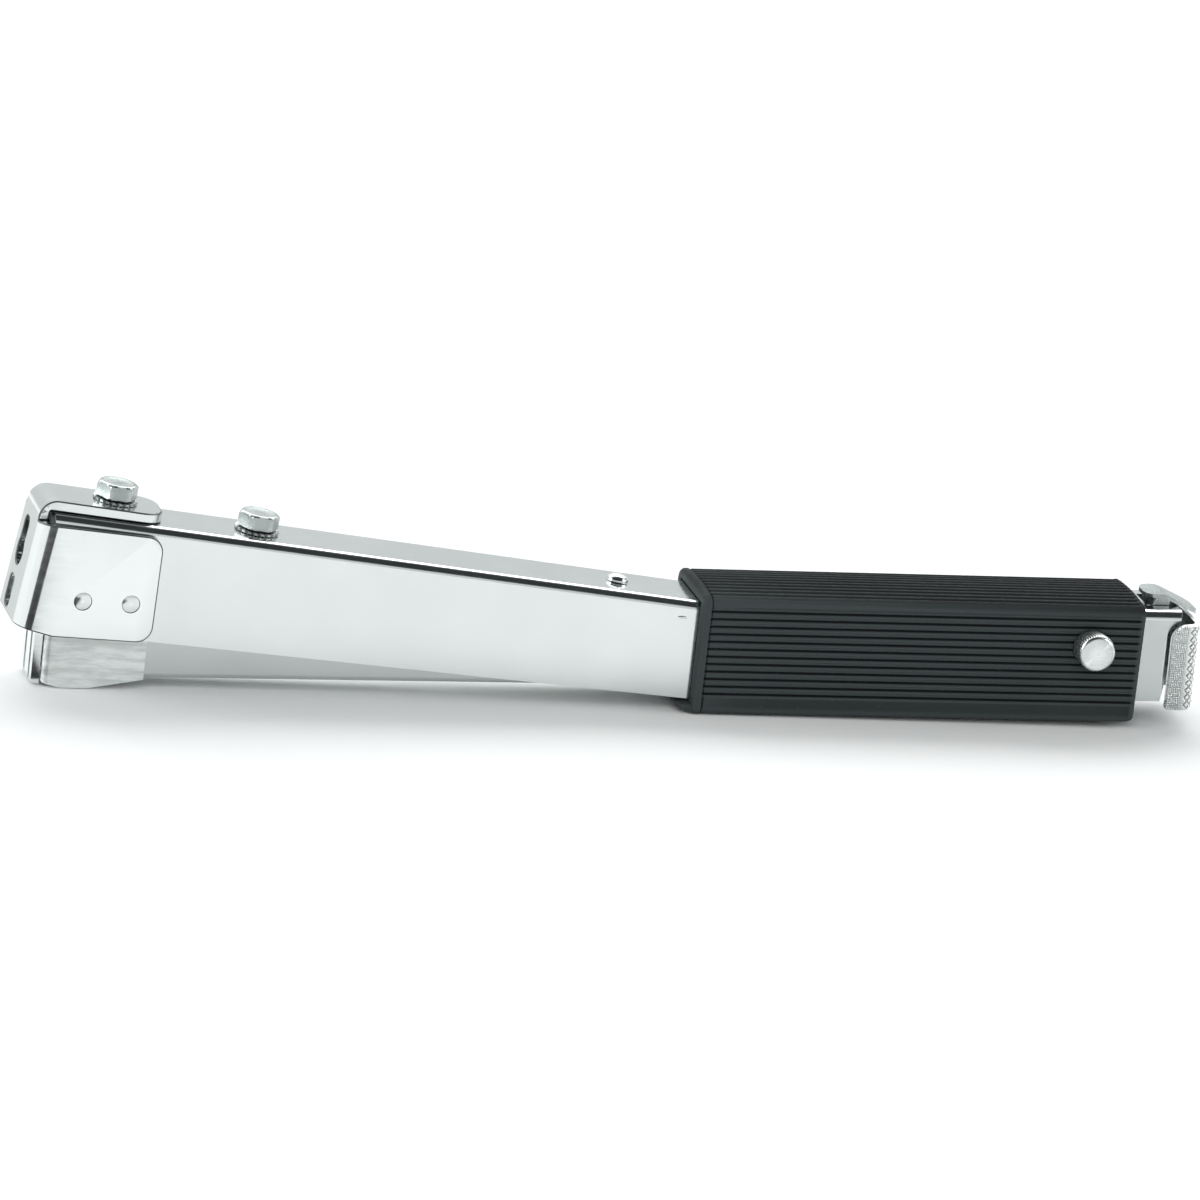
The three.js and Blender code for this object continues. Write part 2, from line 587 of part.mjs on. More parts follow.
function nosePlate() {
  const [front, back] = NOSE_PLATE_X;
  const top = NOSE_EARS_Z[1];
  const side = [[front, 0.7], [back, 0.2], [back, top], [front, top]];
  const tall = acrossY(side, -NOSE_PLATE_HALF_WIDTH, NOSE_PLATE_HALF_WIDTH);
  const ears = block([front, back], [-NOSE_HALF_WIDTH, NOSE_HALF_WIDTH], NOSE_EARS_Z);
  const groove = (y) => block([front - 1, front + 0.6], [y - 1, y + 1], [-5, NOSE_EARS_Z[0] - 1]);
  const screwHole = (y) => bar('x', NOSE_SCREW.radius + 0.2, -5, 8, [y, NOSE_SCREW.z], 12);
  const screwHoles = [screwHole(-NOSE_SCREW.y), screwHole(NOSE_SCREW.y)];
  return cut(joined(tall, ears), groove(-3.4), groove(3.4), ...screwHoles);
}

function noseScrews() {
  const { y, z, radius } = NOSE_SCREW;
  return [['near', -y], ['far', y]].map(([side, at]) => (
    piece(`nose_screw_${side}`, bar('x', radius, NOSE_PLATE_X[0], 7.5, [at, z], 12), steel)
  ));
}

// ---- core: the rail that the staples ride on, pulled out to the rear by its thumb pad ----
function coreRail() {
  const half = RAIL_HALF_WIDTH;
  const outer = block([RAIL_FRONT, RAIL_REAR], [-half, half], [height(RAIL_BOTTOM), height(RAIL_TOP)]);
  return cut(
    outer,
    block([RAIL_FRONT + 1, RAIL_REAR + 5], [1 - half, half - 1], [-40, height(RAIL_TOP - 1)]),
    block([PUSHER_FIN[0] - 2, PUSHER_FIN[1] + PUSHER_TRAVEL + 2], [-1.5, 1.5], [height(RAIL_TOP - 2), 0]),
    bar('x', ROD_RADIUS + GAP, RAIL_FRONT - 5, RAIL_FRONT + 5, [0, height(ROD_HEIGHT)], 16),
  );
}

function coreEndBlock() {
  const body = block([9, RAIL_REAR], [-3.6, 3.6], [height(1.8), height(9.2)]);
  return cut(
    body,
    bar('x', ROD_RADIUS + 0.2, 0, 15.3, [0, height(ROD_HEIGHT)], 16),
    ...PAD_RIVET_HEIGHTS.map((w) => bar('x', PAD_RIVET_RADIUS + 0.2, 17.8, 40, [0, height(w)], 12)),
  );
}

function thumbPad() {
  const [low, high] = PAD_Z;
  const plan = (half, radius, u) => [[10, -half], [u, -half, radius], [u, half, radius], [10, half]];
  const shell = cut(
    upZ(plan(PAD_HALF_WIDTH, PAD_BEND_RADIUS, PAD_FACE + PAD_PLATE), low, high, 6),
    upZ(plan(PAD_HALF_WIDTH - PAD_SIDE, PAD_BEND_RADIUS - 1.6, PAD_FACE), low - 5, high + 5),
  );
  const side = acrossY([
    [PAD_FRONT, low, 1],
    [PAD_FACE + 10, low],
    [PAD_FACE + 10, high],
    [PAD_FRONT, high, 4.5],
  ], -20, 20);
  const holes = PAD_RIVET_HEIGHTS.map((w) => bar('x', PAD_RIVET_RADIUS + 0.2, 20, 40, [0, height(w)], 12));
  return cut(shell.intersect(side), ...holes);
}

function padRivets() {
  const names = ['pad_rivet_lower', 'pad_rivet_upper'];
  return PAD_RIVET_HEIGHTS.map((w, i) => (
    piece(names[i], bar('x', PAD_RIVET_RADIUS, 18, PAD_FACE + PAD_PLATE, [0, height(w)], 12), steel)
  ));
}

function pusherShoe() {
  const shoe = cut(
    block([-289, -267], [-6.2, 6.2], [height(3), height(11.8)]),
    block([-300, -260], [-5.2, 5.2], [-40, height(RAIL_TOP + GAP)]),
  );
  const neck = block(PUSHER_FIN, [-1.2, 1.2], [height(8), height(11.5)]);
  const carrier = block(PUSHER_FIN, [-3.3, 3.3], [height(3.2), height(8.9)]);
  const rodHole = bar('x', ROD_RADIUS + GAP, -300, -260, [0, height(ROD_HEIGHT)], 16);
  return cut(joined(shoe, neck, carrier), rodHole);
}

function springStop() {
  const at = [0, height(ROD_HEIGHT)];
  const sleeve = bar('x', 3.5, SPRING_STOP, SPRING_STOP + 4, at, 16);
  return cut(sleeve, bar('x', ROD_RADIUS + 0.2, -120, -80, at, 16));
}

// ---- latch: a folded lever on the rear of the channel that keeps the core in ----
function latchLever() {
  const outer = [[LATCH_FRONT_X, 36.4], [317.6, 36.5, 8], [325.8, 32.9, 4], [328.1, 31.9, 0.8]];
  const tip = [[328.1, 30.9], [327.2, 30.9]];
  const inner = [[327.2, 31.1], [325.4, 31.9, 3], [317.4, 35.4, 7], [LATCH_FRONT_X, 35.3]];
  const plan = upZ([
    [LATCH_FRONT_X, -LATCH_HALF_WIDTH, 3.5],
    [328.1, -LATCH_HALF_WIDTH, 3.5],
    [328.1, LATCH_HALF_WIDTH, 3.5],
    [LATCH_FRONT_X, LATCH_HALF_WIDTH, 3.5],
  ], 30, 40);
  const sheet = acrossY([...outer, ...tip, ...inner], -LATCH_HALF_WIDTH, LATCH_HALF_WIDTH).intersect(plan);
  const leg = (y) => acrossY([
    [LATCH_X - 2.3, LATCH_Z - 2.2, 2],
    [LATCH_X + 2.3, LATCH_Z - 2.2, 2],
    [LATCH_X + 3.4, 34.8],
    [317.2, 35.7],
    [315.2, 35.7],
    [313.6, 32],
  ], y - 0.6, y + 0.6);
  return cut(joined(sheet, leg(-4.4), leg(4.4)), bar('y', 1.5, -8, 8, [LATCH_X, LATCH_Z]));
}

// ---- assembly ----
const tool = new THREE.Group();
const magazine = new THREE.Group();
tool.position.x = -STRIKE_X;
magazine.position.set(PIVOT_X, 0, PIVOT_Z);
magazine.rotation.y = -MAGAZINE_TILT;

const springTop = frameTop(RIVET_X) - FRAME_WALL - GAP;
const coverTop = underside + MAGAZINE_HEIGHT + SEAT + COVER_THICKNESS;
const springBottom = PIVOT_Z - (PIVOT_X - RIVET_X) * MAGAZINE_TILT + coverTop + GAP;
const springAt = [RIVET_X + 0.4, 0];
const rodAt = [0, height(ROD_HEIGHT)];
const pusherSpringSpan = [PUSHER_FIN[1] + GAP, SPRING_STOP - GAP];

tool.add(
  piece('frame_channel', frameChannel(), chrome),
  piece('head_cap', headCap(), chrome),
  ...capRivets(),
  ...bolt('front', BOLT_XS[0], SEAT + CAP_PLATE, 17),
  ...bolt('rear', BOLT_XS[1], 0, 13),
  piece('driver_blade', driverBlade(), steel),
  piece('driver_clamp', driverClamp(), steel),
  piece('spring_rivet', springRivet(), chrome),
  piece('return_spring', spring('z', 4, 0.6, springBottom, springTop, springAt, 5, 10, 5), springSteel),
  piece('grip_sleeve', gripSleeve(), blackPlastic),
  piece('pivot_pin', pivotPin(), steel),
  piece('nose_block', noseBlock(), castSteel),
  piece('nose_plate', nosePlate(), chrome),
  ...noseScrews(),
  piece('latch_lever', latchLever(), chrome),
  piece('latch_pin', bar('y', 1.2, -7.5, 7.5, [LATCH_X, LATCH_Z], 16), steel),
  piece('latch_spring', spring('y', 1.95, 0.3, -3.5, 3.5, [LATCH_X, LATCH_Z], 7, 8, 4), springSteel),
);

magazine.add(
  piece('magazine_channel', magazineChannel(), steel),
  piece('magazine_cover', magazineCover(), steel),
  piece('hinge_bracket', hingeBracket(), steel),
  ...bracketRivets(),
  piece('core_rail', coreRail(), steel),
  piece('core_end_block', coreEndBlock(), steel),
  piece('thumb_pad', thumbPad(), chrome),
  ...padRivets(),
  piece('pusher_rod', bar('x', ROD_RADIUS, RAIL_FRONT + 0.2, 15, rodAt, 16), steel),
  piece('spring_stop', springStop(), steel),
  piece('pusher_shoe', pusherShoe(), steel),
  piece('pusher_spring', spring('x', 2.6, 0.45, ...pusherSpringSpan, rodAt, 24, 8, 4), springSteel),
);

tool.add(magazine);

export default tool;
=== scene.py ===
"""Looks for the hammer tacker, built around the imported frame.

Rounded, knurled and ribbed pieces stand in for the plain CAD nodes. Each has a node material.
Shapes are written in millimetres and scaled by MM, and axes are those of the frame."""

import json
import math

import bmesh
import bpy
from mathutils import Matrix, Vector


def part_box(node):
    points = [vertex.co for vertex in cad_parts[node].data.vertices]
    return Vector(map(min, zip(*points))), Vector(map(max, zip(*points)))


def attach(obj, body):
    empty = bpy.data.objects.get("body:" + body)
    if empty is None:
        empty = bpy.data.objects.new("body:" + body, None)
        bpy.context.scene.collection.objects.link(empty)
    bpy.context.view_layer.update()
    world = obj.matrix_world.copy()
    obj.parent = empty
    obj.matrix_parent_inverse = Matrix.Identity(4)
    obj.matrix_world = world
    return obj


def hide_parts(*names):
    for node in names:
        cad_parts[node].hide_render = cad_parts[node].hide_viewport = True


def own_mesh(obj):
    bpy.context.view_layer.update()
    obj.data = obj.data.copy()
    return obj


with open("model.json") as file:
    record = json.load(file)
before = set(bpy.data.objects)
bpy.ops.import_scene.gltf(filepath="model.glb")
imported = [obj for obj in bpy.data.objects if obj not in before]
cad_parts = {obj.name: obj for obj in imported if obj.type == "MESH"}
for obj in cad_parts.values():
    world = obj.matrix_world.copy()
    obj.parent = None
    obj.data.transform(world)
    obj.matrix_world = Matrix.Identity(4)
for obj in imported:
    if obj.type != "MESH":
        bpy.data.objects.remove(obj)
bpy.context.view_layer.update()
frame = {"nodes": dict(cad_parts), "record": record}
MM = 0.001
STRIKE_X = 10.5  # the CAD drawing's X of the origin
BEND_X = 181 - STRIKE_X  # where the channel turns from the body into the handle
TOP_AT_BEND = 31.1
BODY_SLOPE = 0.1014  # rise of the body's top per millimetre towards the nose
PIVOT = Vector((294.4 - STRIKE_X, 0, 23.7))
MAGAZINE_TILT = 0.0197
BODY_OF = {
    node: body
    for body, nodes in frame["record"]["behaviour"]["bodies"].items()
    for node in nodes
}
SLOT_OF = {part["node"]: part["material_slot"] for part in frame["record"]["subparts"]}


# ---- node materials ----
class Nodes:
    """A material under construction: short calls that add a node and return the socket needed next."""

    def __init__(self, name):
        self.material = bpy.data.materials.new(name)
        self.material.use_nodes = True
        self.tree = self.material.node_tree
        self.shader = self.tree.nodes["Principled BSDF"]
        self.place = self.tree.nodes.new("ShaderNodeTexCoord").outputs["Object"]

    def link(self, output, target):
        self.tree.links.new(output, target)

    def stretched(self, scale):
        node = self.tree.nodes.new("ShaderNodeMapping")
        node.inputs["Scale"].default_value = scale
        self.link(self.place, node.inputs["Vector"])
        return node.outputs["Vector"]

    def noise(self, scale, detail=3.0, rough=0.5, at=None):
        node = self.tree.nodes.new("ShaderNodeTexNoise")
        node.inputs["Scale"].default_value = scale
        node.inputs["Detail"].default_value = detail
        node.inputs["Roughness"].default_value = rough
        self.link(at or self.place, node.inputs["Vector"])
        return node.outputs["Fac"]

    def spread(self, value, low, high, start=0.3, end=0.7):
        node = self.tree.nodes.new("ShaderNodeMapRange")
        self.link(value, node.inputs["Value"])
        limits = {"From Min": start, "From Max": end, "To Min": low, "To Max": high}
        for socket, number in limits.items():
            node.inputs[socket].default_value = number
        return node.outputs["Result"]

    def blend(self, factor, first, second):
        node = self.tree.nodes.new("ShaderNodeMix")
        node.data_type = "RGBA"
        self.link(factor, node.inputs["Factor"])
        for socket, colour in ((node.inputs["A"], first), (node.inputs["B"], second)):
            if isinstance(colour, bpy.types.NodeSocket):
                self.link(colour, socket)
            else:
                socket.default_value = (*colour, 1)
        return node.outputs["Result"]

    def maths(self, operation, first, second):
        node = self.tree.nodes.new("ShaderNodeMath")
        node.operation = operation
        for socket, value in zip(node.inputs, (first, second)):
            if isinstance(value, bpy.types.NodeSocket):
                self.link(value, socket)
            else:
                socket.default_value = value
        return node.outputs["Value"]

    def bump(self, height, distance, strength=1.0, after=None):
        node = self.tree.nodes.new("ShaderNodeBump")
        node.inputs["Strength"].default_value = strength
        node.inputs["Distance"].default_value = distance
        self.link(height, node.inputs["Height"])
        if after:
            self.link(after, node.inputs["Normal"])
        return node.outputs["Normal"]

    def edges(self, start=0.52, end=0.58):
        node = self.tree.nodes.new("ShaderNodeNewGeometry")
        return self.spread(node.outputs["Pointiness"], 0, 1, start, end)

    def set(self, **values):
        for name, value in values.items():
            socket = self.shader.inputs[name.replace("_", " ")]
            if isinstance(value, bpy.types.NodeSocket):
                self.link(value, socket)
            else:
                socket.default_value = (*value, 1) if isinstance(value, tuple) else value
        return self.material


def metal(name, colour, stain, rough, grain, waviness=0.0, along=(1, 1, 1), pit=0.0):
    """Bare or plated metal: clouded tint, drawn grain in the roughness, and a faintly waved surface."""
    n = Nodes(name)
    grain_at = n.stretched(along)
    tint = n.blend(n.spread(n.noise(35, 4, 0.6), 0, 1), colour, stain)
    streaks = n.noise(grain, 4, 0.7, grain_at)
    low, high = rough
    roughness = n.maths("ADD", n.spread(streaks, low, high), n.spread(n.noise(60, 2), 0, 0.05))
    normal = n.bump(streaks, 0.00001 + pit, 0.35)
    if waviness:
        normal = n.bump(n.noise(22, 1), waviness, 1.0, normal)
    # Colour turns lighter on sharp convex edges.
    lighter_on_edges = n.blend(n.edges(), tint, tuple(min(1, c * 1.12) for c in colour))
    return n.set(Base_Color=lighter_on_edges, Metallic=1.0, Roughness=roughness, Normal=normal)


def cast_metal(name):
    """The nose shoe's face: bright but rough, with wavy ridges that run along it."""
    n = Nodes(name)
    waves = n.noise(300, 3, 0.55, n.stretched((0.35, 1.6, 1.9)))
    fine = n.noise(2200, 3, 0.6)
    tint = n.blend(n.spread(waves, 0, 1, 0.38, 0.62), (0.60, 0.64, 0.63), (0.80, 0.83, 0.82))
    normal = n.bump(fine, 0.00003, 0.5, n.bump(waves, 0.0006, 0.8))
    return n.set(Base_Color=tint, Metallic=0.6, Roughness=n.spread(waves, 0.28, 0.48), Normal=normal)


def knurled_metal(name):
    """Cut knurling: painted highlights on the sharp points over duller valleys, and a fine rolled grain on
    the pad's wings with painted shade in its hollows.
    """
    n = Nodes(name)
    split = n.tree.nodes.new("ShaderNodeSeparateXYZ")
    n.link(n.place, split.inputs["Vector"])
    on_side = n.spread(n.maths("ABSOLUTE", split.outputs["Y"], 0), 0, 1, 0.0138, 0.0141)
    on_wing = n.maths("MULTIPLY", on_side, n.spread(split.outputs["X"], 1, 0, 0.3119, 0.3125))
    jitter = n.maths("MULTIPLY", n.noise(700, 2), 0.0011)
    rows = []
    for lean in (1, -1):
        across = n.maths("ADD", split.outputs["X"], n.maths("MULTIPLY", split.outputs["Z"], lean))
        turns = n.maths("MULTIPLY", n.maths("ADD", across, jitter), 2 * math.pi / 0.00105)
        rows.append(n.maths("SINE", turns, 0))
    grain = n.maths("MULTIPLY", n.maths("MULTIPLY", rows[0], rows[1]), on_wing)
    # Painted shade in the hollows of the wings' grain.
    shaded_pits = n.spread(grain, 1, 0, -0.95, 0.1)
    # Painted highlight on the knurl's sharp points.
    highlit_tips = n.blend(n.edges(0.485, 0.53), (0.55, 0.58, 0.57), (0.94, 0.95, 0.95))
    tint = n.blend(n.maths("MULTIPLY", shaded_pits, on_wing), highlit_tips, (0.50, 0.53, 0.525))
    normal = n.bump(n.noise(2600, 3), 0.00003, 0.5, n.bump(grain, 0.00011, 0.9))
    return n.set(Base_Color=tint, Metallic=1.0, Roughness=n.spread(n.noise(900), 0.22, 0.42), Normal=normal)


def moulded_plastic(name):
    """Charcoal grip plastic: leathery micro grain, dusty specks, and a painted highlight on the ridges that
    is kept mostly off the top.
    """
    n = Nodes(name)
    cloud = n.spread(n.noise(45, 4, 0.6), 0, 1)
    tint = n.blend(cloud, (0.008, 0.0095, 0.010), (0.012, 0.0145, 0.015))
    split = n.tree.nodes.new("ShaderNodeSeparateXYZ")
    n.link(n.place, split.inputs["Vector"])
    # Painted highlight on the ridges: full strength on the sides, cut to 0.12 of it on the top so the top is
    # painted darker.
    on_side = n.spread(split.outputs["Z"], 1, 0.12, 0.0325, 0.0345)
    ridge_highlight = n.blend(n.maths("MULTIPLY", n.edges(0.485, 0.515), on_side), tint, (0.045, 0.054, 0.055))
    specks = n.spread(n.noise(1500, 2, 0.5), 0, 1, 0.72, 0.78)
    dusty = n.blend(n.maths("MULTIPLY", specks, 0.35), ridge_highlight, (0.16, 0.17, 0.17))
    roughness = n.spread(n.noise(700, 3), 0.44, 0.6)
    normal = n.bump(n.noise(3000, 2), 0.00002, 0.5, n.bump(n.noise(160, 3), 0.00012, 0.3))
    return n.set(Base_Color=dusty, Metallic=0.0, Roughness=roughness, Normal=normal, Specular_IOR_Level=0.05)


EVEN = (1, 1, 1)
FINISHES = {
    "chrome_plate": metal(
        "chrome_plate", (0.75, 0.775, 0.775), (0.70, 0.725, 0.725), (0.09, 0.17), 900, 0.00012, (0.15, 1, 1)),
    "bright_steel": metal(
        "bright_steel", (0.72, 0.74, 0.74), (0.62, 0.65, 0.64), (0.20, 0.34), 1500, 0.00015, (0.1, 1, 1)),
    "plain_steel": metal(
        "plain_steel", (0.58, 0.62, 0.61), (0.50, 0.53, 0.525), (0.26, 0.40), 1200, 0.0001, (0.2, 1, 1)),
    "zinc": metal(
        "zinc", (0.48, 0.52, 0.51), (0.27, 0.30, 0.295), (0.20, 0.36), 1600, 0.0001, EVEN, 0.00003),
    "dark_washer": metal(
        "dark_washer", (0.42, 0.45, 0.44), (0.13, 0.14, 0.14), (0.25, 0.45), 1800, 0, EVEN, 0.00003),
    "cast_nose": cast_metal("cast_nose"),
    "spring_steel": metal(
        "spring_steel", (0.40, 0.42, 0.42), (0.30, 0.31, 0.31), (0.22, 0.36), 2500, 0, EVEN),
    "black_grip": moulded_plastic("black_grip"),
    "knurled": knurled_metal("knurled"),
    # Dark colour for the cap's bevels: a darker sheared edge, and also painted shade for the dark line along
    # the cap's rim.
    "sheared_edge_shade": metal(
        "sheared_edge_shade", (0.16, 0.175, 0.17), (0.09, 0.10, 0.098), (0.28, 0.42), 1800, 0.0, EVEN),
}


def finish_piece(obj, *nodes, look=None, smooth=35):
    """Gives a piece its material, rides it on its node's body and lets it stand for its CAD nodes."""
    slot = SLOT_OF[nodes[0]]
    obj.data.materials.clear()
    obj.data.materials.append(FINISHES[look or slot])
    if smooth:
        for polygon in obj.data.polygons:
            polygon.use_smooth = True
        obj.data.set_sharp_from_angle(angle=math.radians(smooth))
    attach(obj, BODY_OF[nodes[0]])
    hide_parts(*nodes)
    return obj


# ---- mesh building ----
def mesh_object(name, bm):
    bmesh.ops.remove_doubles(bm, verts=bm.verts, dist=1e-7)
    bmesh.ops.recalc_face_normals(bm, faces=bm.faces)
    mesh = bpy.data.meshes.new(name)
    bm.to_mesh(mesh)
    bm.free()
    obj = bpy.data.objects.new(name, mesh)
    bpy.context.scene.collection.objects.link(obj)
    return obj


def loft(rings, closed=False, capped=True):
    """A skin over rings of equal length; the end rings are closed by one face each."""
    bm = bmesh.new()
    rows = [[bm.verts.new(p) for p in ring] for ring in rings]
    pairs = list(zip(rows, rows[1:])) + ([(rows[-1], rows[0])] if closed else [])
    for a, b in pairs:
        for i in range(len(a)):
            j = (i + 1) % len(a)
            bm.faces.new((a[i], a[j], b[j], b[i]))
    if capped and not closed:
        bm.faces.new(rows[0])
        bm.faces.new(rows[-1])
    return bm


def turned(profile, steps, matrix, radius_at=None):
    """A solid of revolution from a profile of (radius, height). radius_at can shape it round the turn."""
    rings = []
    for radius, height in profile:
        ring = []
        for k in range(steps):
            angle = 2 * math.pi * k / steps
            r = radius_at(radius, height, k) if radius_at else radius
            ring.append(matrix @ Vector((r * math.cos(angle), r * math.sin(angle), height)))
        rings.append(ring)
    return loft(rings)


def tube(points, radius, sides=8):
    """Round wire along a polyline."""
    points = [Vector(p) for p in points]
    rings = []
    side = None
    for i, p in enumerate(points):
        ahead = (points[min(i + 1, len(points) - 1)] - points[max(i - 1, 0)]).normalized()
        if side is None:
            side = ahead.orthogonal().normalized()
        side = (side - ahead * side.dot(ahead)).normalized()
        other = ahead.cross(side)
        turn = [2 * math.pi * k / sides for k in range(sides)]
        rings.append([p + radius * (math.cos(t) * side + math.sin(t) * other) for t in turn])
    return loft(rings)


SHARP_ANGLE = 28  # degrees between faces, above which an edge is rounded
KEPT_RADIUS = 2.9


def softened(node, width=0.3, segments=2, edge_look=None, look=None, clamp=True, sharp_at=()):
    """A rounded copy of a CAD node: flat faces merged and sharp edges bevelled, in edge_look if given.

    Edges within KEPT_RADIUS (in x and z) of a sharp_at point keep their corner."""
    bm = bmesh.new()
    bm.from_mesh(frame["nodes"][node].data)
    bmesh.ops.remove_doubles(bm, verts=bm.verts, dist=2e-6)
    bmesh.ops.dissolve_limit(bm, angle_limit=math.radians(0.6), verts=bm.verts, edges=bm.edges)
    bm.normal_update()
    weights = bm.edges.layers.float.new("bevel_weight_edge")
    for edge in bm.edges:
        middle = (edge.verts[0].co + edge.verts[1].co) / 2 / MM
        kept = any(math.hypot(middle.x - x, middle.z - z) < KEPT_RADIUS for x, z in sharp_at)
        if edge.calc_face_angle(0) > math.radians(SHARP_ANGLE):
            edge[weights] = 0.0 if kept else 1.0
            edge.smooth = not kept
    obj = mesh_object(node + "_finished", bm)
    for polygon in obj.data.polygons:
        polygon.use_smooth = True
    bevel = obj.modifiers.new("edge", "BEVEL")
    bevel.width = width * MM
    bevel.segments = segments
    bevel.limit_method = "WEIGHT"
    bevel.use_clamp_overlap = clamp
    bevel.face_strength_mode = "FSTR_ALL"
    if edge_look:
        obj.data.materials.append(FINISHES[SLOT_OF[node]])
        obj.data.materials.append(FINISHES[edge_look])
        bevel.material = 1
    split = obj.modifiers.new("cut", "TRIANGULATE")
    split.ngon_method = "BEAUTY"
    shade = obj.modifiers.new("shade", "WEIGHTED_NORMAL")
    shade.weight = 90
    shade.use_face_influence = True
    shade.keep_sharp = True
    evaluated = obj.evaluated_get(bpy.context.evaluated_depsgraph_get())
    mesh = bpy.data.meshes.new_from_object(evaluated)
    obj.modifiers.clear()
    obj.data = mesh
    on_edge = [polygon.material_index for polygon in mesh.polygons]
    finish_piece(obj, node, look=look, smooth=None)
    if edge_look:
        mesh.materials.append(FINISHES[edge_look])
        mesh.polygons.foreach_set("material_index", on_edge)
    return obj


# ---- handle grip ----
GRIP_LIP = 4.0  # tongue under the channel, ahead of the sleeve


def grip_lip():
    """The tongue at the front of the sleeve: its underside curls up to a thin rounded tip."""
    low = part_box("grip_sleeve")[0] / MM
    rings = []
    for k in range(9):
        t = k / 8
        x = low.x + 0.1 + (GRIP_LIP + 0.9) * t
        half = 13.9 - 1.6 * (1 - math.sqrt(1 - (1 - min(1, t * 2.5)) ** 2))
        bottom = 1.7 * max(0, 1 - t * 1.22) ** 1.25 + 0.12
        top = 2.62 - 0.25 * max(0, 1 - t * 5) ** 2
        edge = min(0.6, (top - bottom) / 2.2)
        ring = []
        corners = (
            (half - edge, top - edge, 0),
            (edge - half, top - edge, 90),
            (edge - half, bottom + edge, 180),
            (half - edge, bottom + edge, 270),
        )
        for cy, cz, start in corners:
            for step in range(5):
                a = math.radians(start + 90 * step / 4)
                ring.append(Vector((x, cy + edge * math.cos(a), cz + edge * math.sin(a))) * MM)
        rings.append(ring)
    return finish_piece(mesh_object("grip_tongue", loft(rings)), "grip_sleeve", smooth=50)


def drill_far_side(sleeve):
    """The hole the pivot pin's far end shows in."""
    low, high = (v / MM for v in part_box("pivot_pin"))
    centre = Vector(((low.x + high.x) / 2, 13.5, (low.z + high.z) / 2))
    turn = Matrix.Rotation(-math.pi / 2, 4, "X")
    matrix = Matrix.Translation(centre * MM) @ turn @ Matrix.Scale(MM, 4)
    tool = mesh_object("drill", turned([(0.001, -3), (3.15, -3), (3.15, 3), (0.001, 3)], 40, matrix))
    cut = sleeve.modifiers.new("hole", "BOOLEAN")
    cut.operation = "DIFFERENCE"
    cut.solver = "EXACT"
    cut.object = tool
    mesh = bpy.data.meshes.new_from_object(sleeve.evaluated_get(bpy.context.evaluated_depsgraph_get()))
    sleeve.modifiers.clear()
    sleeve.data = mesh
    bpy.data.objects.remove(tool)


